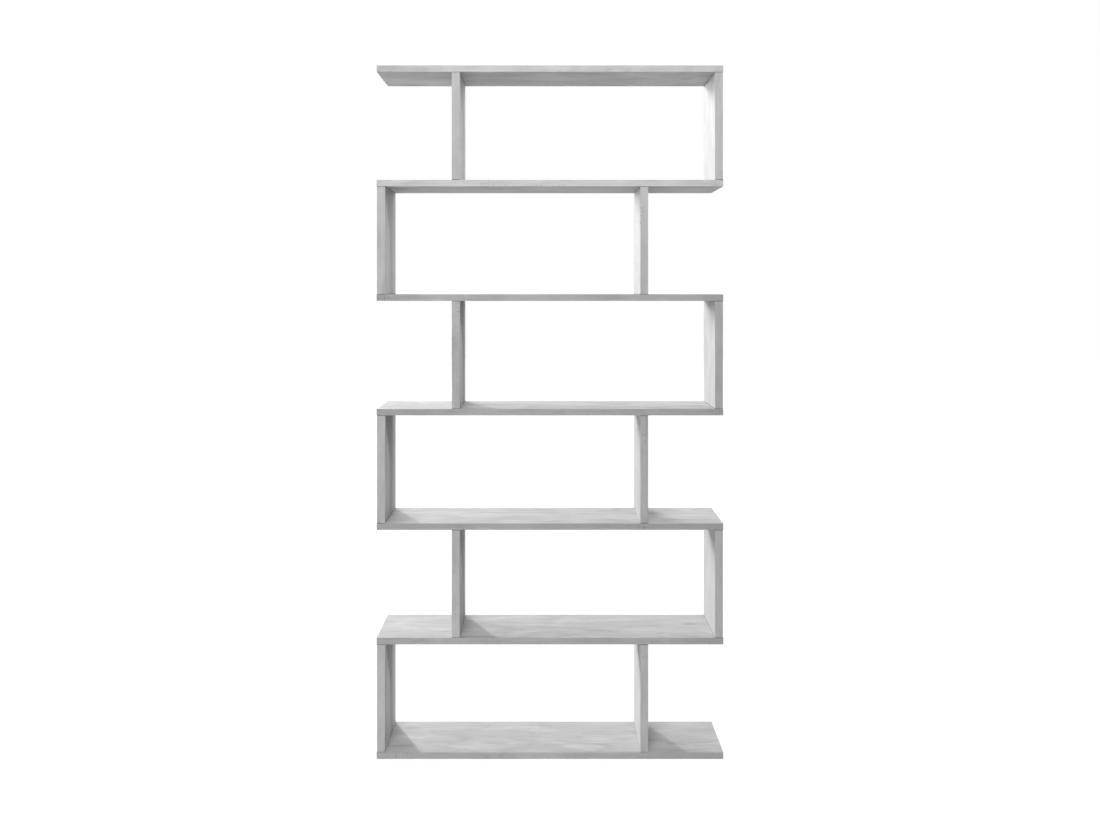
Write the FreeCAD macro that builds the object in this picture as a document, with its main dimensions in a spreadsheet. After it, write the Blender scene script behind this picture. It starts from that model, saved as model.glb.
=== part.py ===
"""Zigzag bookcase of melamine-faced board: full-width shelves on pairs of uprights that swap sides.

Millimetres, +Z up, front towards -Y. The origin is on the floor, under the middle of the bookcase.
Each tier has one outer upright, near a shelf end, and one inner upright, set in from the other end.
Each end of an upright is held to its shelf by two cam fittings and two dowels. A joint frame has its
origin where the bolt or dowel crosses the shelf's face, +Z into the upright and -X out of the face
that the cams are turned from. That face is the one away from the middle of the bookcase.
"""

import FreeCAD
import Part
import os
import Sketcher
from FreeCAD import Placement, Rotation, Vector

TIER_COUNT = 6

SIZES = {
    # boards
    "shelf_width": 960,
    "shelf_depth": 250,
    "shelf_thickness": 18,
    "upright_height": 299,
    "upright_thickness": 22,
    "end_inset": 1,
    "overhang": 208,
    "band_thickness": 1,
    "band_rounding": 0.8,
    # layout of the fittings in a joint
    "cam_edge_distance": 40,
    "dowel_spacing": 32,
    "cam_setback": 34,
    "shelf_hole_floor": 6,
    "hole_end_gap": 1,
    "fit_gap": 0.1,
    # cam lock
    "cam_diameter": 15,
    "cam_nose": 4.5,
    "cam_nose_chamfer": 0.6,
    "cam_core_diameter": 4.4,
    "cam_play": 0.3,
    "drive_slot_length": 7,
    "drive_slot_width": 1.6,
    "drive_slot_depth": 2.5,
    # cam bolt
    "bolt_thread_diameter": 5,
    "bolt_tip_chamfer": 0.8,
    "bolt_collar_diameter": 7,
    "bolt_collar_height": 1.5,
    "bolt_shank_diameter": 5.5,
    "bolt_neck_diameter": 4,
    "bolt_head_diameter": 7,
    "bolt_head_rim": 2.35,
    "bolt_hole_diameter": 8,
    # dowel
    "dowel_diameter": 8,
    "dowel_reach": 19,
    "dowel_chamfer": 1,
    # cam cover
    "cover_diameter": 17,
    "cover_thickness": 0.8,
    "cover_rounding": 0.5,
    "cover_rib_depth": 2,
    # wall bracket
    "bracket_leg": 25,
    "bracket_width": 16,
    "bracket_thickness": 2,
    "bracket_bend_radius": 1.5,
    "bracket_corner_radius": 3,
    "bracket_hole_setback": 15,
    "bracket_wall_hole_diameter": 5,
    "bracket_end_distance": 130,
    # bracket screw
    "screw_shank_diameter": 3.5,
    "screw_tip_length": 3,
    "screw_head_diameter": 7,
    "screw_head_height": 2.2,
    "screw_head_rounding": 1.2,
    "screw_slot_length": 4,
    "screw_slot_width": 0.9,
    "screw_slot_depth": 1.2,
    # how far a cut runs past the surface that it opens
    "cut_overrun": 1,
}

CAM_SLOT_DEGREES = 200
CAM_WINDOW_DEGREES = 70
ROUNDING_WALL_SHARE = 0.9

# Expressions that several pieces share
HALF_WIDTH = "(dims.shelf_width / 2)"
HALF_DEPTH = "(dims.shelf_depth / 2)"
HALF_UPRIGHT = "(dims.upright_thickness / 2)"
CORE_WIDTH = "(dims.shelf_width - 2 * dims.band_thickness)"
CORE_DEPTH = "(dims.shelf_depth - 2 * dims.band_thickness)"
TIER_PITCH = "(dims.upright_height + dims.shelf_thickness)"
OUTER_X = f"({HALF_WIDTH} - dims.end_inset - {HALF_UPRIGHT})"
INNER_X = f"({HALF_WIDTH} - dims.overhang - {HALF_UPRIGHT})"
CAM_Y = f"({HALF_DEPTH} - dims.cam_edge_distance)"
DOWEL_Y = f"({CAM_Y} - dims.dowel_spacing)"
BRACKET_X = f"({HALF_WIDTH} - dims.bracket_end_distance)"
BRACKET_SCREW_Y = f"({HALF_DEPTH} - dims.bracket_hole_setback)"
SHELF_HOLE_DEPTH = "(dims.shelf_thickness - dims.shelf_hole_floor)"
SHELF_REACH = f"({SHELF_HOLE_DEPTH} - dims.hole_end_gap)"
DOWEL_HOLE_DIAMETER = "(dims.dowel_diameter + 2 * dims.fit_gap)"
THREAD_HOLE_DIAMETER = "(dims.bolt_thread_diameter + 2 * dims.fit_gap)"
SCREW_HOLE_DIAMETER = "(dims.screw_shank_diameter + 2 * dims.fit_gap)"
CORE_RADIUS = "(dims.cam_core_diameter / 2)"
HEAD_RADIUS = "(dims.bolt_head_diameter / 2)"
NECK_RADIUS = "(dims.bolt_neck_diameter / 2)"
HEAD_TOP = f"({CORE_RADIUS} + dims.fit_gap)"
HEAD_RIM_END = f"({HEAD_TOP} + dims.bolt_head_rim)"
CHAMBER_RADIUS = f"sqrt({HEAD_RADIUS} ^ 2 + ({HEAD_RIM_END} + dims.fit_gap) ^ 2)"
NECK_END = f"(sqrt({CHAMBER_RADIUS} ^ 2 - {NECK_RADIUS} ^ 2) - dims.fit_gap)"

doc = FreeCAD.newDocument("zigzag_bookcase")
sub_parts = {}


def fill_sheet():
    """Writes the driving dimensions into a spreadsheet, one named cell each."""
    sheet = doc.addObject("Spreadsheet::Sheet", "dims")
    for row, (name, size) in enumerate(SIZES.items(), start=1):
        sheet.set(f"A{row}", name)
        sheet.set(f"B{row}", str(size))
        sheet.setAlias(f"B{row}", name)
    doc.recompute()
    return sheet


dims = fill_sheet()


def value(expression):
    """The number that an expression gives with the sheet's present sizes."""
    return float(dims.evalExpression(expression))


def minus(expression):
    return f"-({expression})"


def about_x(degrees):
    return Rotation(Vector(1, 0, 0), degrees)


def about_y(degrees):
    return Rotation(Vector(0, 1, 0), degrees)


def about_z(degrees):
    return Rotation(Vector(0, 0, 1), degrees)


# Sketches and features

def new_body(label):
    body = doc.addObject("PartDesign::Body", label)
    body.Label = label
    return body


def origin_feature(body, role):
    return next(f for f in body.Origin.OriginFeatures if f.Role == role)


def new_sketch(body, plane, offset="0"):
    """A sketch on one of the body's origin planes, moved along the plane's normal."""
    sketch = body.newObject("Sketcher::SketchObject", "sketch")
    sketch.AttachmentSupport = [(origin_feature(body, plane), "")]
    sketch.MapMode = "FlatFace"
    sketch.setExpression("AttachmentOffset.Base.z", offset)
    return sketch


def bind_point(sketch, geometry, point, x, y):
    """Holds a point of a sketch at the place that two expressions give."""
    for kind, expression in (("DistanceX", x), ("DistanceY", y)):
        constraint = Sketcher.Constraint(kind, -1, 1, geometry, point, value(expression))
        number = sketch.addConstraint(constraint)
        sketch.setExpression(f"Constraints[{number}]", expression)


def draw_outline(sketch, points):
    """A closed outline of straight lines through points given as pairs of expressions."""
    places = [Vector(value(x), value(y), 0) for x, y in points]
    followers = places[1:] + places[:1]
    for start, end in zip(places, followers):
        sketch.addGeometry(Part.LineSegment(start, end))
    for line, (x, y) in enumerate(points):
        following = (line + 1) % len(points)
        sketch.addConstraint(Sketcher.Constraint("Coincident", line, 2, following, 1))
        bind_point(sketch, line, 1, x, y)


def draw_rectangle(sketch, width, height):
    """A rectangle about the sketch's origin."""
    right = f"({width}) / 2"
    top = f"({height}) / 2"
    left = minus(right)
    bottom = minus(top)
    draw_outline(sketch, [(left, bottom), (right, bottom), (right, top), (left, top)])


def draw_circles(sketch, centres, diameter):
    """Circles of one size, at centres given as pairs of expressions."""
    for x, y in centres:
        place = Vector(value(x), value(y), 0)
        circle = sketch.addGeometry(Part.Circle(place, Vector(0, 0, 1), value(diameter) / 2))
        bind_point(sketch, circle, 3, x, y)
        number = sketch.addConstraint(Sketcher.Constraint("Diameter", circle, value(diameter)))
        sketch.setExpression(f"Constraints[{number}]", diameter)


def pad(body, sketch, length, midplane=False):
    """Raises a sketch along its plane's normal, or half to each side of it."""
    feature = body.newObject("PartDesign::Pad", "pad")
    feature.Profile = sketch
    feature.Midplane = midplane
    feature.setExpression("Length", length)


def pocket(body, sketch, depth, along_normal):
    """Cuts a sketch into the body, along its plane's normal or against it."""
    feature = body.newObject("PartDesign::Pocket", "pocket")
    feature.Profile = sketch
    feature.Reversed = along_normal
    feature.setExpression("Length", depth)


def drill(body, plane, face, along_normal, centres, diameter, depth):
    """Round holes into the face that lies at an offset from an origin plane."""
    sketch = new_sketch(body, plane, face)
    draw_circles(sketch, centres, diameter)
    pocket(body, sketch, depth, along_normal)


def cut_cross(body, plane, face, along_normal, length, width, depth):
    """Two crossed driver slots about the origin of a face."""
    for across, up in ((length, width), (width, length)):
        sketch = new_sketch(body, plane, face)
        draw_rectangle(sketch, across, up)
        pocket(body, sketch, depth, along_normal)


def revolve(body, plane, points, axis):
    """A solid of revolution from an outline on an origin plane."""
    sketch = new_sketch(body, plane)
    draw_outline(sketch, points)
    feature = body.newObject("PartDesign::Revolution", "revolution")
    feature.Profile = sketch
    feature.ReferenceAxis = (origin_feature(body, axis), [""])


def groove(body, plane, points, axis, degrees):
    """Turns an outline about an axis to cut an arc, half to each side of the plane."""
    sketch = new_sketch(body, plane)
    draw_outline(sketch, points)
    feature = body.newObject("PartDesign::Groove", "groove")
    feature.Profile = sketch
    feature.ReferenceAxis = (origin_feature(body, axis), [""])
    feature.Angle = degrees
    feature.Midplane = True


def round_edges(body, radius, wanted):
    """Rounds the edges of the body's last feature for which wanted(bounding box) holds."""
    doc.recompute()
    base = body.Tip
    edges = enumerate(base.Shape.Edges, start=1)
    names = [f"Edge{number}" for number, edge in edges if wanted(edge.BoundBox)]
    feature = body.newObject("PartDesign::Fillet", "fillet")
    feature.Base = (base, names)
    feature.setExpression("Radius", radius)


def limited_rounding(radius, wall):
    """A rounding that leaves some flat on the wall that it rounds."""
    return f"min({radius}; {ROUNDING_WALL_SHARE} * {wall})"


def lies_at(low, high, place):
    """True if a span from low to high has no length and is at a place."""
    return max(abs(low - place), abs(high - place)) < Part.Precision.confusion()


def set_place(piece, x, y, z, turn=Rotation()):
    """Turns a piece and ties its place to three expressions."""
    piece.Placement = Placement(Vector(), turn)
    for axis, expression in zip("xyz", (x, y, z)):
        piece.setExpression(f"Placement.Base.{axis}", expression)


def add_group(label, copies):
    """A sub-part of separate solids: each copy is a master piece, its place and its turn."""
    links = []
    for number, (master, place, turn) in enumerate(copies, start=1):
        link = doc.addObject("App::Link", f"{label}_{number}")
        link.LinkedObject = master
        set_place(link, *place, turn)
        links.append(link)
    group = doc.addObject("Part::Compound", label)
    group.Label = label
    group.Links = links
    sub_parts[label] = group


# Where the boards and their joints are

def shelf_label(shelf):
    if shelf == 1:
        return "bottom_shelf"
    if shelf == TIER_COUNT + 1:
        return "top_shelf"
    return f"shelf_{shelf}"


def shelf_bottom(shelf):
    """Height of a shelf's underside, counted from shelf 1 on the floor."""
    return f"({shelf - 1} * {TIER_PITCH})"


def shelf_top(shelf):
    return f"({shelf_bottom(shelf)} + dims.shelf_thickness)"


def tier_uprights(tier):
    """Name, side and place across of a tier's two uprights; odd tiers have the outer one on the left."""
    outer_side = -1 if tier % 2 else 1
    inner_side = -outer_side
    return [
        ("outer", outer_side, f"({outer_side} * {OUTER_X})"),
        ("inner", inner_side, f"({inner_side} * {INNER_X})"),
    ]


def outward_turn(side):
    """Turns a piece's -X face away from the middle of the bookcase."""
    return about_z(0) if side < 0 else about_z(180)


def joint_centres(tier, y):
    """Where a tier's pins at one distance from the middle of the depth cross its shelves."""
    return [(x, end_y) for _, _, x in tier_uprights(tier) for end_y in (minus(y), y)]


def joint_frames(tier, y, setback="0"):
    """Place and turn of a tier's pins, or of points set back from them into the uprights."""
    frames = []
    for _, side, x in tier_uprights(tier):
        turn = outward_turn(side)
        for end_y in (minus(y), y):
            frames.append(((x, end_y, f"{shelf_top(tier)} + {setback}"), turn))
            frames.append(((x, end_y, f"{shelf_bottom(tier + 1)} - {setback}"), turn * about_x(180)))
    return frames


# Boards

def make_shelf(shelf):
    """A shelf board with the blind holes for the uprights on it and under it."""
    label = shelf_label(shelf)
    body = new_body(label)
    outline = new_sketch(body, "XY_Plane")
    draw_rectangle(outline, CORE_WIDTH, CORE_DEPTH)
    pad(body, outline, "dims.shelf_thickness")
    faces = []
    if shelf <= TIER_COUNT:
        faces.append((shelf, "dims.shelf_thickness", False))
    if shelf > 1:
        faces.append((shelf - 1, "0", True))
    for tier, face, along_normal in faces:
        for y, diameter in ((CAM_Y, THREAD_HOLE_DIAMETER), (DOWEL_Y, DOWEL_HOLE_DIAMETER)):
            centres = joint_centres(tier, y)
            drill(body, "XY_Plane", face, along_normal, centres, diameter, SHELF_HOLE_DEPTH)
    if shelf > TIER_COUNT:
        centres = [(x, BRACKET_SCREW_Y) for x in (minus(BRACKET_X), BRACKET_X)]
        top = "dims.shelf_thickness"
        drill(body, "XY_Plane", top, False, centres, SCREW_HOLE_DIAMETER, SHELF_HOLE_DEPTH)
    set_place(body, "0", "0", shelf_bottom(shelf))
    sub_parts[label] = body


def make_upright(tier, name, side, x):
    """An upright board, with pin holes in both ends and cam holes in its outward face."""
    label = f"tier_{tier}_{name}_upright"
    body = new_body(label)
    outline = new_sketch(body, "XY_Plane")
    draw_rectangle(outline, "dims.upright_thickness", CORE_DEPTH)
    pad(body, outline, "dims.upright_height")
    pins = (
        (CAM_Y, "dims.bolt_hole_diameter", "dims.cam_setback"),
        (DOWEL_Y, DOWEL_HOLE_DIAMETER, "dims.dowel_reach + dims.hole_end_gap"),
    )
    for face, along_normal in (("0", True), ("dims.upright_height", False)):
        for y, diameter, depth in pins:
            drill(body, "XY_Plane", face, along_normal, [("0", minus(y)), ("0", y)], diameter, depth)
    cam_heights = ("dims.cam_setback", "dims.upright_height - dims.cam_setback")
    cam_places = [(y, z) for y in (minus(CAM_Y), CAM_Y) for z in cam_heights]
    drill(
        body, "YZ_Plane", minus(HALF_UPRIGHT), True,
        cam_places, "dims.cam_diameter + 2 * dims.fit_gap", f"{HALF_UPRIGHT} + dims.cam_nose",
    )
    set_place(body, x, "0", shelf_top(tier), outward_turn(side))
    sub_parts[label] = body


# Edge bands

def make_band(label, length, width, rounds_ends):
    """An edge band along X, its glued face at y = 0, with rounded outer arrises."""
    body = new_body(label)
    outline = new_sketch(body, "XY_Plane")
    half = f"({length}) / 2"
    outer = minus("dims.band_thickness")
    draw_outline(outline, [(minus(half), outer), (half, outer), (half, "0"), (minus(half), "0")])
    pad(body, outline, width)
    outer_y = value(outer)
    half_length = value(half)

    def is_outer_arris(box):
        is_long = box.XLength > half_length
        return lies_at(box.YMin, box.YMax, outer_y) and (is_long or rounds_ends)

    round_edges(body, limited_rounding("dims.band_rounding", "dims.band_thickness"), is_outer_arris)
    return body


def add_shelf_bands(shelf, long_band, end_band):
    """Bands on all four edges of a shelf; the long ones cover the ends of the short ones."""
    z = shelf_bottom(shelf)
    back = f"{CORE_DEPTH} / 2"
    right = f"{CORE_WIDTH} / 2"
    copies = [
        (long_band, ("0", minus(back), z), about_z(0)),
        (long_band, ("0", back, z), about_z(180)),
        (end_band, (minus(right), "0", z), about_z(-90)),
        (end_band, (right, "0", z), about_z(90)),
    ]
    add_group(f"{shelf_label(shelf)}_edge_bands", copies)


def add_upright_bands(tier, name, x, band):
    """Bands on the front and back edges of an upright; its ends stay raw inside the joints."""
    back = f"{CORE_DEPTH} / 2"
    middle = f"{shelf_top(tier)} + dims.upright_height / 2"
    upright = about_y(90)
    copies = [
        (band, (f"{x} - {HALF_UPRIGHT}", minus(back), middle), upright),
        (band, (f"{x} + {HALF_UPRIGHT}", back, middle), about_z(180) * upright),
    ]
    add_group(f"tier_{tier}_{name}_upright_edge_bands", copies)


# Fittings: bolt and dowel in their joint frame, cam and cover in that frame set back to the cam's axis

def make_cam():
    """Cam lock about the X axis; the bolt comes in from -Z and its head sits in the chamber."""
    body = new_body("cam_lock")
    radius = "dims.cam_diameter / 2"
    face = minus(HALF_UPRIGHT)
    profile = [
        (face, "0"),
        ("dims.cam_nose", "0"),
        ("dims.cam_nose", f"{radius} - dims.cam_nose_chamfer"),
        ("dims.cam_nose - dims.cam_nose_chamfer", radius),
        (face, radius),
    ]
    revolve(body, "XZ_Plane", profile, "X_Axis")
    head_half = f"{HEAD_RADIUS} + dims.cam_play"
    neck_half = f"{NECK_RADIUS} + dims.cam_play"
    outside = f"{radius} + dims.cut_overrun"
    # the chamber goes round the core, the neck's slot goes part of the way, and the window lets the head in
    cuts = (
        ("XZ_Plane", head_half, CHAMBER_RADIUS, 360),
        ("XZ_Plane", neck_half, outside, CAM_SLOT_DEGREES),
        ("XY_Plane", head_half, outside, CAM_WINDOW_DEGREES),
    )
    for plane, half, reach, degrees in cuts:
        low, high = minus(reach), minus(CORE_RADIUS)
        outline = [(minus(half), low), (half, low), (half, high), (minus(half), high)]
        groove(body, plane, outline, "X_Axis", degrees)
    slot = ("dims.drive_slot_length", "dims.drive_slot_width", "dims.drive_slot_depth")
    cut_cross(body, "YZ_Plane", face, True, *slot)
    return body


def make_bolt():
    """Cam bolt about the Z axis: thread down into the shelf, head up in the cam's chamber."""
    body = new_body("cam_bolt")
    thread = "dims.bolt_thread_diameter / 2"
    collar = "dims.bolt_collar_diameter / 2"
    shank = "dims.bolt_shank_diameter / 2"
    tip = minus(SHELF_REACH)
    cam_edge = "dims.cam_setback - dims.cam_diameter / 2 - dims.fit_gap"
    head_top = f"dims.cam_setback - {HEAD_TOP}"
    profile = [
        ("0", tip),
        (f"{thread} - dims.bolt_tip_chamfer", tip),
        (thread, f"{tip} + dims.bolt_tip_chamfer"),
        (thread, "0"),
        (collar, "0"),
        (collar, "dims.bolt_collar_height"),
        (shank, "dims.bolt_collar_height"),
        (shank, cam_edge),
        (NECK_RADIUS, cam_edge),
        (NECK_RADIUS, f"dims.cam_setback - {NECK_END}"),
        (HEAD_RADIUS, f"dims.cam_setback - {HEAD_RIM_END}"),
        (HEAD_RADIUS, head_top),
        ("0", head_top),
    ]
    revolve(body, "XZ_Plane", profile, "Z_Axis")
    return body


def make_dowel():
    """Dowel about the Z axis, one end down in the shelf and the other up in the upright."""
    body = new_body("dowel")
    radius = "dims.dowel_diameter / 2"
    end_radius = f"{radius} - dims.dowel_chamfer"
    low = minus(SHELF_REACH)
    profile = [
        ("0", low),
        (end_radius, low),
        (radius, f"{low} + dims.dowel_chamfer"),
        (radius, "dims.dowel_reach - dims.dowel_chamfer"),
        (end_radius, "dims.dowel_reach"),
        ("0", "dims.dowel_reach"),
    ]
    revolve(body, "XZ_Plane", profile, "Z_Axis")
    return body


def make_cover():
    """Snap-in cover over a cam, with a rib that grips one of the cam's driver slots."""
    body = new_body("cam_cover")
    seat = minus(HALF_UPRIGHT)
    outside = f"{seat} - dims.cover_thickness"
    radius = "dims.cover_diameter / 2"
    profile = [(outside, "0"), (seat, "0"), (seat, radius), (outside, radius)]
    revolve(body, "XZ_Plane", profile, "X_Axis")
    outside_x = value(outside)

    def is_outer_rim(box):
        return lies_at(box.XMin, box.XMax, outside_x)

    round_edges(body, limited_rounding("dims.cover_rounding", "dims.cover_thickness"), is_outer_rim)
    rib = new_sketch(body, "YZ_Plane", seat)
    draw_rectangle(
        rib,
        "dims.drive_slot_length - 2 * dims.fit_gap",
        "dims.drive_slot_width - 2 * dims.fit_gap",
    )
    pad(body, rib, "dims.cover_rib_depth")
    return body


# Wall bracket and its screw, in a frame on the top shelf's upper back edge and one on the screw's seat

def make_bracket():
    """Folded steel angle: one leg on the shelf, the other up along the wall."""
    body = new_body("wall_bracket")
    leg = "dims.bracket_leg"
    plate = "dims.bracket_thickness"
    profile = [
        (minus(leg), "0"),
        ("0", "0"),
        ("0", leg),
        (minus(plate), leg),
        (minus(plate), plate),
        (minus(leg), plate),
    ]
    sketch = new_sketch(body, "YZ_Plane")
    draw_outline(sketch, profile)
    pad(body, sketch, "dims.bracket_width", midplane=True)
    leg_length = value(leg)
    plate_thickness = value(plate)

    def is_inner_bend(box):
        at_wall_leg = lies_at(box.YMin, box.YMax, -plate_thickness)
        return at_wall_leg and lies_at(box.ZMin, box.ZMax, plate_thickness)

    def is_outer_bend(box):
        return lies_at(box.YMin, box.YMax, 0) and lies_at(box.ZMin, box.ZMax, 0)

    def is_leg_corner(box):
        at_leg_end = lies_at(box.YMin, box.YMax, -leg_length) or lies_at(box.ZMin, box.ZMax, leg_length)
        return at_leg_end and lies_at(box.XMin, box.XMax, box.XMin)

    round_edges(body, "dims.bracket_bend_radius", is_inner_bend)
    round_edges(body, f"dims.bracket_bend_radius + {plate}", is_outer_bend)
    round_edges(body, "dims.bracket_corner_radius", is_leg_corner)
    screw_centre = [("0", minus("dims.bracket_hole_setback"))]
    drill(body, "XY_Plane", plate, False, screw_centre, SCREW_HOLE_DIAMETER, plate)
    wall_centre = [("0", "dims.bracket_hole_setback")]
    drill(body, "XZ_Plane", "0", True, wall_centre, "dims.bracket_wall_hole_diameter", plate)
    return body


def make_screw():
    """Round-head wood screw about the Z axis, its head seated at z = 0."""
    body = new_body("bracket_screw")
    shank = "dims.screw_shank_diameter / 2"
    head = "dims.screw_head_diameter / 2"
    head_top = "dims.screw_head_height"
    tip = minus(f"{SHELF_REACH} + dims.bracket_thickness")
    profile = [
        ("0", tip),
        (shank, f"{tip} + dims.screw_tip_length"),
        (shank, "0"),
        (head, "0"),
        (head, head_top),
        ("0", head_top),
    ]
    revolve(body, "XZ_Plane", profile, "Z_Axis")
    top = value(head_top)

    def is_top_rim(box):
        return lies_at(box.ZMin, box.ZMax, top)

    round_edges(body, limited_rounding("dims.screw_head_rounding", head_top), is_top_rim)
    slot = ("dims.screw_slot_length", "dims.screw_slot_width", "dims.screw_slot_depth")
    cut_cross(body, "XY_Plane", head_top, False, *slot)
    return body


# Assembly

def add_boards():
    long_band = make_band("shelf_long_band", "dims.shelf_width", "dims.shelf_thickness", True)
    end_band = make_band("shelf_end_band", CORE_DEPTH, "dims.shelf_thickness", False)
    upright_band = make_band("upright_band", "dims.upright_height", "dims.upright_thickness", False)
    for shelf in range(1, TIER_COUNT + 2):
        make_shelf(shelf)
        add_shelf_bands(shelf, long_band, end_band)
    for tier in range(1, TIER_COUNT + 1):
        for name, side, x in tier_uprights(tier):
            make_upright(tier, name, side, x)
            add_upright_bands(tier, name, x, upright_band)


def add_fittings():
    cam = make_cam()
    bolt = make_bolt()
    dowel = make_dowel()
    cover = make_cover()
    covers = []
    for tier in range(1, TIER_COUNT + 1):
        cam_frames = joint_frames(tier, CAM_Y, "dims.cam_setback")
        add_group(f"tier_{tier}_cam_locks", [(cam, *frame) for frame in cam_frames])
        add_group(f"tier_{tier}_cam_bolts", [(bolt, *frame) for frame in joint_frames(tier, CAM_Y)])
        add_group(f"tier_{tier}_dowels", [(dowel, *frame) for frame in joint_frames(tier, DOWEL_Y)])
        covers += [(cover, *frame) for frame in cam_frames]
    add_group("cam_covers", covers)


def add_wall_brackets():
    bracket = make_bracket()
    screw = make_screw()
    top = shelf_top(TIER_COUNT + 1)
    screw_seat = f"{top} + dims.bracket_thickness"
    sides = (minus(BRACKET_X), BRACKET_X)
    add_group("wall_brackets", [(bracket, (x, HALF_DEPTH, top), about_z(0)) for x in sides])
    add_group("bracket_screws", [(screw, (x, BRACKET_SCREW_Y, screw_seat), about_z(0)) for x in sides])


def check_document():
    """Stops the build if an object failed, a cut removed nothing or a sub-part isn't sound."""
    doc.recompute()
    failed = [o.Label for o in doc.Objects if {"Invalid", "Error"} & set(o.State)]
    cuts = doc.findObjects("PartDesign::Pocket") + doc.findObjects("PartDesign::Groove")
    failed += [cut.Label for cut in cuts if cut.Shape.Volume >= cut.BaseFeature.Shape.Volume]
    for label, piece in sub_parts.items():
        if piece.Shape.isNull() or not piece.Shape.isValid() or not piece.Shape.Solids:
            failed.append(label)
    if failed:
        raise RuntimeError(f"these objects failed: {failed}")


def write_parts():
    os.makedirs("parts", exist_ok=True)
    for label, piece in sub_parts.items():
        piece.Shape.exportStep(f"parts/{label}.step")


add_boards()
add_fittings()
add_wall_brackets()
check_document()
write_parts()
solid_count = sum(len(piece.Shape.Solids) for piece in sub_parts.values())
print(f"{len(sub_parts)} sub-parts, {solid_count} solids")
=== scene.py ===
import math
from collections import namedtuple

import bpy
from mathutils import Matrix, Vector


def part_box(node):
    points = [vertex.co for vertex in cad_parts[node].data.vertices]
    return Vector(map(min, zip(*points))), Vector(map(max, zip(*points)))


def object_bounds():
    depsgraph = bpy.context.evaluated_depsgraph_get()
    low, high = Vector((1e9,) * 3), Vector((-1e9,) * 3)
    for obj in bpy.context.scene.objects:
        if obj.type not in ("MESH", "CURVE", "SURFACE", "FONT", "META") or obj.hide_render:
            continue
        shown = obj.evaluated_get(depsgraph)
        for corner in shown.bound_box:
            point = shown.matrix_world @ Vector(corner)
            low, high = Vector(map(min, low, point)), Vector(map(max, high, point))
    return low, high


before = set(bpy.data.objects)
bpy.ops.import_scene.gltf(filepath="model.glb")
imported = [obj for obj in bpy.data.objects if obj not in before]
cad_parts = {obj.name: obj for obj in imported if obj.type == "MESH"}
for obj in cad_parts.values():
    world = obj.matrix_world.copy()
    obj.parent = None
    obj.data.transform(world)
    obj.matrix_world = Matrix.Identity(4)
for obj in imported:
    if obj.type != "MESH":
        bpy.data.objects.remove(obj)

CAD_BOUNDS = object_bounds()
FLOOR_LEVEL = CAD_BOUNDS[0].z
FRONT = CAD_BOUNDS[0].y

# Places on the boards, read from the frame
SHELF_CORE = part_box("bottom_shelf")[1]
TIER_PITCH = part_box("shelf_2")[0].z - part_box("bottom_shelf")[0].z
UPRIGHT_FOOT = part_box("tier_1_outer_upright")[0].z
UPRIGHT_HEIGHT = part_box("tier_1_outer_upright")[1].z - UPRIGHT_FOOT

# Camera: level and square to the front, with the picture shifted to the photo's framing
PHOTO_WIDTH, PHOTO_HEIGHT = 1100, 824
VANISHING_COLUMN, HORIZON_ROW = 546.0, 289.7
CAMERA_X, CAMERA_HEIGHT = -0.011, 1.299
CAMERA_DISTANCE = 3.5
CAMERA_TILT = math.radians(90.0)
LENS_MM = 41.38
SENSOR_MM = 36.0

# Soft boxes that light the bookcase mostly from behind at the left.
# The spread is in degrees and the power in watts.
Lamp = namedtuple("Lamp", "name place target width height spread power")
LAMPS = (
    Lamp("key_back_left", (-7.85, 18.4, 8.6), (0.0, 0.0, 1.0), 0.65, 5.6, 180.0, 2481.0),
    Lamp("panel_back_left", (-1.88, 3.25, 2.37), (0.0, 0.0, 1.0), 3.0, 2.5, 180.0, 57.7),
    Lamp("panel_back_right", (2.0, 3.0, 2.6), (0.0, 0.0, 1.0), 2.0, 2.0, 180.0, 32.3),
    Lamp("left_far", (-13.8, 5.86, 2.2), (0.0, 0.0, 0.1), 0.8, 0.8, 60.0, 106.2),
    Lamp("right_side", (2.4, 0.6, 2.3), (0.4, 0.0, 0.4), 1.0, 1.0, 120.0, 7.0),
    Lamp("right_top", (2.2, -0.5, 2.0), (-0.2, 0.0, 1.9), 1.0, 1.0, 80.0, 3.69),
    Lamp("above", (0.0, 0.3, 4.6), (0.0, 0.0, 1.9), 1.0, 1.0, 40.0, 1.38),
    Lamp("front_high", (-0.5, -2.5, 3.4), (0.0, 0.0, 1.2), 1.0, 1.0, 180.0, 57.7),
    Lamp("front_level", (-0.5, -3.2, 1.6), (0.0, 0.0, 1.4), 1.0, 1.0, 180.0, 6.92),
    Lamp("front_top", (0.1, -2.6, 2.2), (0.0, 0.0, 1.75), 0.8, 0.8, 40.0, 0.87),
    Lamp("front_low", (0.0, -2.6, 0.4), (-0.1, 0.0, 0.15), 0.8, 0.8, 40.0, 0.92),
)

# World and floor, both white where they are looked at. Near the object the floor glows a little
# less, and a faint grey that the lamps light makes up for it and carries the shadow.
FILL_STRENGTH = 0.023
FLOOR_SIZE, FLOOR_GAP = 40.0, 0.0005
FLOOR_GREY, FLOOR_ROUGHNESS = 0.75, 0.9
GLOW_NEAR, GLOW_FAR = 0.8, 2.6
GLOW_NEAR_STRENGTH, GLOW_FAR_STRENGTH = 0.93, 1.0
SHADOW_GREY = 0.13

# Noise: cells per metre along X, Y and Z; most of its values lie between LOW and HIGH
Noise = namedtuple("Noise", "density detail")
NOISE_LOW, NOISE_MIDDLE, NOISE_HIGH = 0.3, 0.5, 0.7
Bump = namedtuple("Bump", "strength distance")

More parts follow.
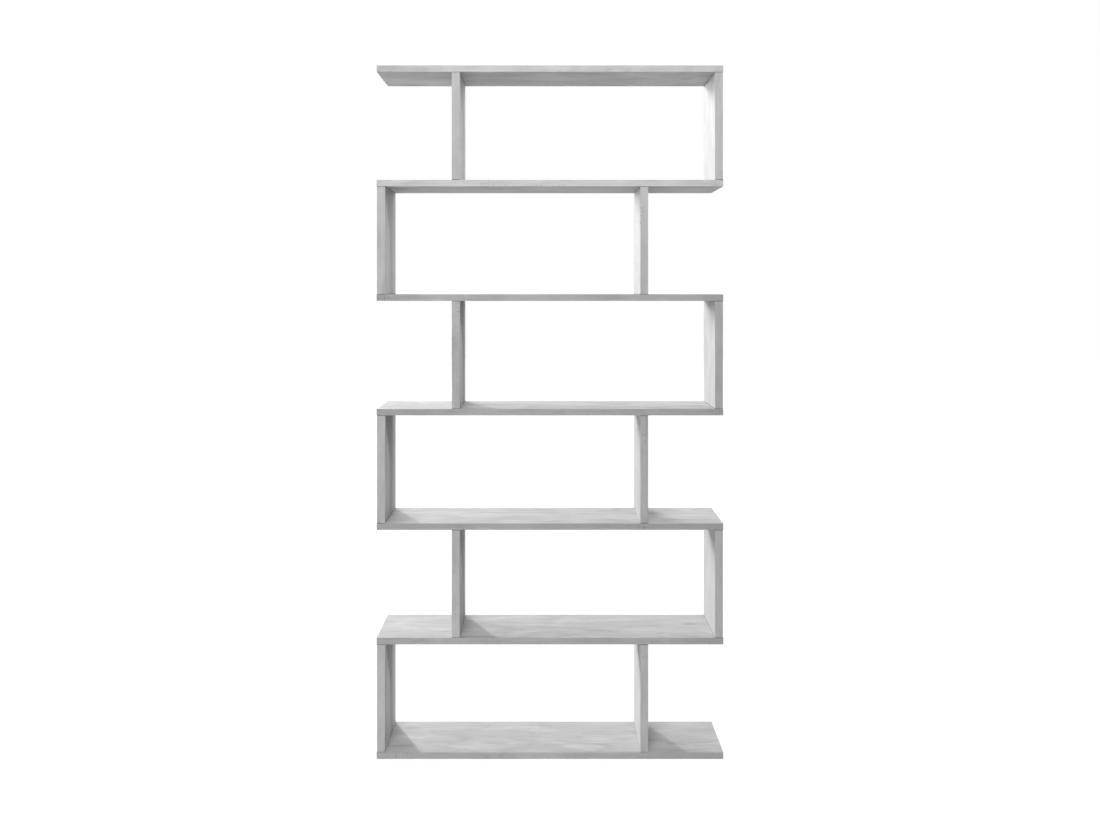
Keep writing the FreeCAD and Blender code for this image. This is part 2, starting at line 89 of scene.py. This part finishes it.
# The grey wood print: layers of tone, in cells per metre along and across the grain
PRINT_GREY = 0.52
PRINT_SHEEN = 0.25
PRINT_BUMP = Bump(0.25, 0.0003)
STREAK_RELIEF = 0.5
DARK_TONE, PALE_TONE = 0.8, 1.2
DARK_ROUGHNESS, PALE_ROUGHNESS = 0.66, 0.54
SHELF_CONTRAST, UPRIGHT_CONTRAST, BAND_CONTRAST = 1.7, 1.0, 1.2
Cloud = namedtuple("Cloud", "along across detail distortion share")
BROAD_TONE = Cloud(1.5, 6.0, 2.0, 0.3, 0.15)
SMUDGES = Cloud(7.0, 16.0, 5.0, 0.9, 0.34)
STREAKS = Cloud(7.0, 180.0, 4.0, 0.0, 0.20)
Mark = namedtuple("Mark", "along across detail distortion start full change", defaults=(0.0,))
DARK_SMEARS = Mark(5.0, 19.0, 4.0, 1.6, 0.58, 0.68, -0.08)
PALE_PATCHES = Mark(6.0, 15.0, 3.0, 1.2, 0.58, 0.70, 0.05)
PORES = Mark(55.0, 1100.0, 2.0, 0.0, 0.62, 0.72, -0.10)
SAW_TICKS = Mark(260.0, 70.0, 1.0, 0.0, 0.60, 0.70, -0.22)
TICK_CLUSTERS = Mark(5.0, 30.0, 1.0, 0.0, 0.52, 0.66)

# Each print, and each layer of it, has its own place in the noise
SHELF_SHIFT, UPRIGHT_SHIFT = 0.0, 13.0
SHELF_BAND_SHIFT, UPRIGHT_BAND_SHIFT = 29.0, 41.0
LAYER_STEP_ALONG, LAYER_STEP_ACROSS, LAYER_STEP_THROUGH = 3.7, -2.3, 1.9

# Lines at joints and bands, in metres, and worn arrises; the joint lines are painted shade and
# grime in the joint gaps.
# An arris starts where the largest part of the normal falls below ARRIS_START.
JOINT_LINE, JOINT_SHADE = 0.0009, 0.70
GLUE_LINE, GLUE_SHADE = 0.0002, 0.30
ARRIS_START, ARRIS_FULL = 0.98, 0.80
ARRIS_WEAR = 0.10
RUBBED = Noise((30.0, 30.0, 30.0), 3.0)
RUBBED_START, RUBBED_FULL = 0.35, 0.65

# The dark V on the left uprights is painted shade under the shelf above, over a darker streak in
# the print. TIP and MOUTH are shares of the upright's height.
# BACK, NARROW, SOFT and WANDER are metres of depth. Between the two LEVELs, in metres
# above the floor, it gets fainter.
SHADE_V_TIP, SHADE_V_MOUTH = 0.50, 0.98
SHADE_V_BACK, SHADE_V_NARROW, SHADE_V_SOFT, SHADE_V_WANDER = 0.080, -0.030, 0.045, 0.04
SHADE_V_FOOT, SHADE_V_HEAD = 0.24, 0.52
SHADE_V_FULL_LEVEL, SHADE_V_FAINT_LEVEL, SHADE_V_FAINT = 1.0, 1.75, 0.5
SHADE_V_COURSE = Noise((9.0, 9.0, 5.0), 2.0)
FACING_START, FACING_FULL = 0.5, 0.9

# Boards and edge bands differ slightly in tone, partly as painted light and shade matched to how
# bright each piece shows; the first part of a name that fits counts
TONES = (
    ("tier_3_outer_upright_edge_bands", 1.15),
    ("tier_4_outer_upright_edge_bands", 0.96),
    ("tier_6_outer_upright_edge_bands", 0.99),
    ("tier_6_inner_upright_edge_bands", 0.92),
    ("_outer_upright_edge_bands", 1.07),
    ("_inner_upright_edge_bands", 1.0),
    ("bottom_shelf_edge_bands", 1.02),
    ("top_shelf_edge_bands", 1.02),
    ("shelf_6_edge_bands", 1.13),
    ("_edge_bands", 0.88),
    ("top_shelf", 0.96),
    ("shelf_6", 0.93),
    ("tier_1_outer_upright", 1.08),
    ("tier_1_inner_upright", 1.04),
    ("tier_2_inner_upright", 0.88),
    ("tier_3_outer_upright", 0.90),
    ("tier_4_inner_upright", 0.88),
    ("tier_5_outer_upright", 1.04),
    ("tier_5_inner_upright", 0.96),
    ("tier_6_outer_upright", 0.92),
    ("tier_6_inner_upright", 1.04),
    ("tier_2_", 0.96),
    ("tier_3_", 0.95),
    ("tier_4_", 0.96),
)

# Fittings
Metal = namedtuple("Metal", "name grey roughness lines")
CAM_ZINC = Metal("cam_zinc", 0.45, 0.45, Noise((300.0, 300.0, 300.0), 4.0))
PLATED_STEEL = Metal("plated_steel", 0.62, 0.32, Noise((1800.0, 120.0, 120.0), 4.0))
METAL_STAINS = Noise((220.0, 220.0, 220.0), 3.0)
METAL_DARKEST, METAL_PALEST = 0.88, 1.08
METAL_GLOSSIER, METAL_DULLER = -0.08, 0.10
METAL_BUMP = Bump(0.15, 0.0001)

BEECH_GRAIN = Noise((700.0, 700.0, 40.0), 4.0)
BEECH_DARK, BEECH_PALE = (0.50, 0.32, 0.17, 1.0), (0.66, 0.46, 0.27, 1.0)
BEECH_DARK_ROUGHNESS, BEECH_PALE_ROUGHNESS = 0.75, 0.62
BEECH_BUMP = Bump(0.2, 0.0002)
BEECH_FLECKS = Noise((1500.0, 1500.0, 300.0), 1.0)
FLECK_START, FLECK_FULL = 0.6, 0.7
FLECK_COLOUR = (0.30, 0.17, 0.09, 1.0)

COVER_CLOUD = Noise((60.0, 60.0, 60.0), 2.0)
COVER_DARKEST, COVER_PALEST = 0.53, 0.58
COVER_SPECKLE = Noise((2600.0, 2600.0, 2600.0), 2.0)
COVER_SMOOTHEST, COVER_ROUGHEST = 0.50, 0.64
COVER_BUMP = Bump(0.2, 0.0001)


def even_grey(value):
    return (value, value, value, 1.0)


class Shader:
    """A material with a Principled surface, and short ways to add nodes to it."""

    def __init__(self, name):
        self.material = bpy.data.materials.new(name)
        self.material.use_nodes = True
        self.tree = self.material.node_tree
        self.surface = next(n for n in self.tree.nodes if n.type == "BSDF_PRINCIPLED")
        self.place = self.add("TexCoord").outputs["Object"]

    def add(self, kind, inputs=None, **settings):
        """Adds a node; an input is a plain value or another node's output socket."""
        node = self.tree.nodes.new("ShaderNode" + kind)
        for key, setting in settings.items():
            setattr(node, key, setting)
        for key, source in (inputs or {}).items():
            self.connect(source, node.inputs[key])
        return node

    def connect(self, source, socket):
        if isinstance(source, bpy.types.NodeSocket):
            self.tree.links.new(source, socket)
        else:
            socket.default_value = source

    def finish(self, **inputs):
        """Sets or links inputs of the surface, where an underscore stands for a space."""
        for key, source in inputs.items():
            self.connect(source, self.surface.inputs[key.replace("_", " ")])
        return self.material

    def math(self, operation, first, second=0.0, third=0.0):
        return self.add("Math", {0: first, 1: second, 2: third}, operation=operation).outputs[0]

    def total(self, terms):
        result = terms[0]
        for term in terms[1:]:
            result = self.math("ADD", result, term)
        return result

    def ramp(self, source, start, end, low=0.0, high=1.0):
        """A smooth step from low at start to high at end."""
        limits = {"From Min": start, "From Max": end, "To Min": low, "To Max": high}
        inputs = {"Value": source, **limits}
        return self.add("MapRange", inputs, interpolation_type="SMOOTHSTEP").outputs[0]

    def over_noise(self, noise, low, high):
        """A value that follows noise from low to high."""
        return self.ramp(noise, NOISE_LOW, NOISE_HIGH, low, high)

    def axes(self, vector):
        return self.add("SeparateXYZ", {0: vector}).outputs

    def noise(self, vector, density, detail, distortion=0.0, offset=(0.0, 0.0, 0.0)):
        """Fractal noise, with a density in cells per metre for each direction."""
        mapping = {"Vector": vector, "Scale": density, "Location": offset}
        cells = self.add("Mapping", mapping).outputs[0]
        inputs = {"Vector": cells, "Scale": 1.0, "Detail": detail, "Distortion": distortion}
        return self.add("TexNoise", inputs).outputs["Fac"]

    def bump(self, height, strength, distance):
        inputs = {"Height": height, "Strength": strength, "Distance": distance}
        return self.add("Bump", inputs).outputs[0]

    def mix(self, factor, first, second):
        node = self.add("Mix", data_type="RGBA")
        colours = [s for s in node.inputs if s.type == "RGBA"]
        for source, socket in zip((factor, first, second), (node.inputs["Factor"], *colours)):
            self.connect(source, socket)
        return next(s for s in node.outputs if s.type == "RGBA")

    def own_tone(self, factor):
        """The piece's own tone times a factor."""
        tone = self.add("ObjectInfo").outputs["Color"]
        return self.add("VectorMath", {0: tone, "Scale": factor}, operation="SCALE").outputs[0]

    def grey(self, value):
        return self.add("CombineColor", {0: value, 1: value, 2: value}).outputs[0]


class WoodPrint(Shader):
    """The grey printed wood of boards and edge bands, with its grain along X or Z."""

    def __init__(self, name, along, shift, contrast):
        super().__init__(name)
        self.shift = shift
        self.contrast = contrast
        x, y, z = self.axes(self.place)
        grain = (x, y, z) if along == "X" else (z, y, x)
        self.grain = self.add("CombineXYZ", dict(enumerate(grain))).outputs[0]
        self.layers = 0
        self.tones = [1.0]
        self.cloud(BROAD_TONE)
        self.cloud(SMUDGES)
        self.mark(DARK_SMEARS)
        self.mark(PALE_PATCHES)
        streaks = self.cloud(STREAKS)
        pores = self.mark(PORES)
        ridges = self.math("MULTIPLY", streaks, STREAK_RELIEF)
        self.relief = self.math("SUBTRACT", ridges, pores)

    def layer(self, kind):
        """The noise of one layer."""
        self.layers += 1
        offset = (
            self.shift + LAYER_STEP_ALONG * self.layers,
            self.shift + LAYER_STEP_ACROSS * self.layers,
            LAYER_STEP_THROUGH * self.layers,
        )
        density = (kind.along, kind.across, kind.across)
        return self.noise(self.grain, density, kind.detail, kind.distortion, offset)

    def tone(self, mask, share):
        self.tones.append(self.math("MULTIPLY", mask, share))

    def cloud(self, kind):
        value = self.math("SUBTRACT", self.layer(kind), NOISE_MIDDLE)
        self.tone(value, kind.share * self.contrast)
        return value

    def mark(self, kind, where=None):
        mask = self.ramp(self.layer(kind), kind.start, kind.full)
        if where is not None:
            mask = self.math("MULTIPLY", mask, where)
        self.tone(mask, kind.change * self.contrast)
        return mask

    def saw_ticks(self):
        """Short marks across the grain, in clusters."""
        clusters = self.ramp(self.layer(TICK_CLUSTERS), TICK_CLUSTERS.start, TICK_CLUSTERS.full)
        self.mark(SAW_TICKS, clusters)

    def painted_shade_v(self):
        """Painted shade: a dark V on the faces of the left uprights towards +X, under the shelf
        above, over a darker streak in the print.

        It is a band that darkens upwards; from the tip up it opens towards the front.
        """
        facing = self.axes(self.add("NewGeometry").outputs["True Normal"])["X"]
        side, depth, level = self.axes(self.place)
        height = self.math("DIVIDE", self.height_in_tier(), UPRIGHT_HEIGHT)
        wander = self.math("SUBTRACT", self.noise(self.place, *SHADE_V_COURSE), NOISE_MIDDLE)
        course = self.math("MULTIPLY_ADD", wander, SHADE_V_WANDER, depth)
        front_edge = self.ramp(height, SHADE_V_TIP, SHADE_V_MOUTH, SHADE_V_NARROW, FRONT)
        band = self.ramp(self.math("SUBTRACT", course, front_edge), 0.0, SHADE_V_SOFT)
        for mask in (
            self.ramp(course, SHADE_V_BACK, SHADE_V_BACK - SHADE_V_SOFT),
            self.ramp(facing, FACING_START, FACING_FULL),
            self.math("LESS_THAN", side, 0.0),
            self.ramp(level, SHADE_V_FULL_LEVEL, SHADE_V_FAINT_LEVEL, 1.0, SHADE_V_FAINT),
        ):
            band = self.math("MULTIPLY", band, mask)
        self.tone(band, self.ramp(height, 0.0, 1.0, -SHADE_V_FOOT, -SHADE_V_HEAD))

    def height_in_tier(self):
        """The height above the foot of the upright."""
        height = self.math("SUBTRACT", self.axes(self.place)["Z"], UPRIGHT_FOOT)
        return self.math("MODULO", height, TIER_PITCH)

    def joint_gap_shade(self):
        """Painted shade and grime in the joint gap: a dark line at both ends of an upright."""
        height = self.height_in_tier()
        below_top = self.math("ABSOLUTE", self.math("SUBTRACT", height, UPRIGHT_HEIGHT))
        to_end = self.math("MINIMUM", self.math("ABSOLUTE", height), below_top)
        self.tone(self.ramp(to_end, 2.0 * JOINT_LINE, JOINT_LINE), -JOINT_SHADE)

    def glue_line(self, axis, half_width):
        """The thin dark line where a board meets its edge bands."""
        from_middle = self.math("ABSOLUTE", self.axes(self.place)[axis])
        to_band = self.math("SUBTRACT", half_width, from_middle)
        self.tone(self.ramp(to_band, 2.0 * GLUE_LINE, GLUE_LINE), -GLUE_SHADE)

    def arris_wear(self):
        """Rounded arrises, where the normal leaves the axes, rubbed paler in places."""
        normal = self.add("NewGeometry").outputs["True Normal"]
        parts = self.axes(self.add("VectorMath", {0: normal}, operation="ABSOLUTE").outputs[0])
        largest = self.math("MAXIMUM", self.math("MAXIMUM", parts[0], parts[1]), parts[2])
        rubbed = self.noise(self.place, *RUBBED)
        arris = self.ramp(largest, ARRIS_START, ARRIS_FULL)
        worn = self.math("MULTIPLY", arris, self.ramp(rubbed, RUBBED_START, RUBBED_FULL))
        self.tone(worn, ARRIS_WEAR)

    def done(self):
        tone = self.total(self.tones)
        return self.finish(
            Base_Color=self.own_tone(self.math("MULTIPLY", tone, PRINT_GREY)),
            Roughness=self.ramp(tone, DARK_TONE, PALE_TONE, DARK_ROUGHNESS, PALE_ROUGHNESS),
            Specular_IOR_Level=PRINT_SHEEN,
            Normal=self.bump(self.relief, *PRINT_BUMP),
        )


def shelf_material():
    board = WoodPrint("shelf_print", "X", SHELF_SHIFT, SHELF_CONTRAST)
    board.glue_line("X", SHELF_CORE.x)
    board.glue_line("Y", SHELF_CORE.y)
    return board.done()


def upright_material():
    board = WoodPrint("upright_print", "Z", UPRIGHT_SHIFT, UPRIGHT_CONTRAST)
    # painted shade under the shelves on the left uprights, over a darker streak in the print
    board.painted_shade_v()
    board.glue_line("Y", SHELF_CORE.y)
    board.joint_gap_shade()
    return board.done()


def shelf_band_material():
    band = WoodPrint("shelf_band_print", "X", SHELF_BAND_SHIFT, BAND_CONTRAST)
    band.saw_ticks()
    band.arris_wear()
    return band.done()


def upright_band_material():
    band = WoodPrint("upright_band_print", "Z", UPRIGHT_BAND_SHIFT, BAND_CONTRAST)
    band.saw_ticks()
    band.joint_gap_shade()
    band.arris_wear()
    return band.done()


def metal_material(metal):
    """Dull metal with fine drawn lines and uneven gloss."""
    shader = Shader(metal.name)
    lines = shader.noise(shader.place, *metal.lines)
    stains = shader.noise(shader.place, *METAL_STAINS)
    both = shader.math("ADD", lines, stains)
    factor = shader.ramp(both, 2.0 * NOISE_LOW, 2.0 * NOISE_HIGH, METAL_DARKEST, METAL_PALEST)
    glossiest, dullest = metal.roughness + METAL_GLOSSIER, metal.roughness + METAL_DULLER
    return shader.finish(
        Base_Color=shader.grey(shader.math("MULTIPLY", factor, metal.grey)),
        Metallic=1.0,
        Roughness=shader.over_noise(stains, glossiest, dullest),
        Normal=shader.bump(lines, *METAL_BUMP),
    )


def beech_material():
    """Raw beech: straight grain with short dark flecks."""
    beech = Shader("beech")
    grain = beech.noise(beech.place, *BEECH_GRAIN)
    flecks = beech.ramp(beech.noise(beech.place, *BEECH_FLECKS), FLECK_START, FLECK_FULL)
    wood = beech.mix(grain, BEECH_DARK, BEECH_PALE)
    return beech.finish(
        Base_Color=beech.mix(flecks, wood, FLECK_COLOUR),
        Roughness=beech.over_noise(grain, BEECH_DARK_ROUGHNESS, BEECH_PALE_ROUGHNESS),
        Normal=beech.bump(grain, *BEECH_BUMP),
    )


def cover_material():
    """Moulded plastic in the boards' grey, with a fine moulded texture."""
    cover = Shader("cover_plastic")
    speckle = cover.noise(cover.place, *COVER_SPECKLE)
    cloud = cover.noise(cover.place, *COVER_CLOUD)
    return cover.finish(
        Base_Color=cover.grey(cover.over_noise(cloud, COVER_DARKEST, COVER_PALEST)),
        Roughness=cover.over_noise(speckle, COVER_SMOOTHEST, COVER_ROUGHEST),
        Specular_IOR_Level=PRINT_SHEEN,
        Normal=cover.bump(speckle, *COVER_BUMP),
    )


def dress_nodes():
    """Gives every node of the frame its finish and tone."""
    finishes = (
        ("upright_edge_bands", upright_band_material()),
        ("_edge_bands", shelf_band_material()),
        ("_upright", upright_material()),
        ("shelf", shelf_material()),
        ("_cam_locks", metal_material(CAM_ZINC)),
        ("_dowels", beech_material()),
        ("cam_covers", cover_material()),
        ("", metal_material(PLATED_STEEL)),
    )
    for name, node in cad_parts.items():
        node.data.materials.clear()
        node.data.materials.append(next(material for part, material in finishes if part in name))
        node.color = even_grey(next((tone for part, tone in TONES if part in name), 1.0))


def add_camera():
    camera = bpy.data.cameras.new("camera")
    camera.sensor_width = SENSOR_MM
    camera.lens = LENS_MM
    camera.shift_x = (PHOTO_WIDTH / 2 - VANISHING_COLUMN) / PHOTO_WIDTH
    camera.shift_y = (HORIZON_ROW - PHOTO_HEIGHT / 2) / PHOTO_WIDTH
    holder = bpy.data.objects.new("camera", camera)
    holder.location = (CAMERA_X, FRONT - CAMERA_DISTANCE, CAMERA_HEIGHT)
    holder.rotation_euler = (CAMERA_TILT, 0.0, 0.0)
    bpy.context.scene.collection.objects.link(holder)
    bpy.context.scene.camera = holder


def add_lamp(name, place, target, width, height, spread, power):
    """A soft box that faces a target; a spread below 180 degrees narrows its beam."""
    lamp = bpy.data.lights.new(name, "AREA")
    lamp.shape = "RECTANGLE"
    lamp.size, lamp.size_y = width, height
    lamp.spread = math.radians(spread)
    lamp.energy = power
    holder = bpy.data.objects.new(name, lamp)
    holder.location = place
    direction = Vector(target) - Vector(place)
    holder.rotation_euler = direction.to_track_quat("-Z", "Y").to_euler()
    holder.visible_camera = False
    bpy.context.scene.collection.objects.link(holder)


def seen_directly(tree):
    """1 for what is looked at, also in a reflection or through a clear material.

    It is 0 for what only lights a surface.
    """
    path = tree.nodes.new("ShaderNodeLightPath")
    total = path.outputs["Is Camera Ray"]
    for name in ("Is Glossy Ray", "Is Transmission Ray"):
        either = tree.nodes.new("ShaderNodeMath")
        either.operation = "MAXIMUM"
        tree.links.new(total, either.inputs[0])
        tree.links.new(path.outputs[name], either.inputs[1])
        total = either.outputs[0]
    return total


def add_world():
    """White where it is looked at, a faint fill for everything else."""
    world = bpy.data.worlds.new("studio")
    world.use_nodes = True
    tree = world.node_tree
    background = next(n for n in tree.nodes if n.type == "BACKGROUND")
    background.inputs["Color"].default_value = even_grey(1.0)
    strength = tree.nodes.new("ShaderNodeMapRange")
    strength.inputs["To Min"].default_value = FILL_STRENGTH
    tree.links.new(seen_directly(tree), strength.inputs["Value"])
    tree.links.new(strength.outputs[0], background.inputs["Strength"])
    bpy.context.scene.world = world


def add_floor():
    """A white floor that keeps a faint shadow near the object."""
    place = (0.0, 0.0, FLOOR_LEVEL - FLOOR_GAP)
    bpy.ops.mesh.primitive_plane_add(size=FLOOR_SIZE, location=place)
    floor = bpy.context.object
    floor.name = "floor"
    shader = Shader("floor_white")
    shader.finish(Base_Color=even_grey(FLOOR_GREY), Roughness=FLOOR_ROUGHNESS)
    reach = shader.add("VectorMath", {0: shader.place}, operation="LENGTH").outputs["Value"]
    strength = shader.ramp(reach, GLOW_NEAR, GLOW_FAR, GLOW_NEAR_STRENGTH, GLOW_FAR_STRENGTH)
    glow = shader.add("Emission", {"Strength": strength})
    faint = shader.add("BsdfDiffuse", {"Color": even_grey(SHADOW_GREY)})
    white = shader.add("AddShader", {0: glow.outputs[0], 1: faint.outputs[0]})
    output = next(n for n in shader.tree.nodes if n.type == "OUTPUT_MATERIAL")
    ways = {0: seen_directly(shader.tree), 1: shader.surface.outputs[0], 2: white.outputs[0]}
    shader.connect(shader.add("MixShader", ways).outputs[0], output.inputs["Surface"])
    floor.data.materials.append(shader.material)


bpy.context.scene.view_settings.view_transform = "Standard"
dress_nodes()
add_camera()
for lamp in LAMPS:
    add_lamp(*lamp)
add_world()
add_floor()
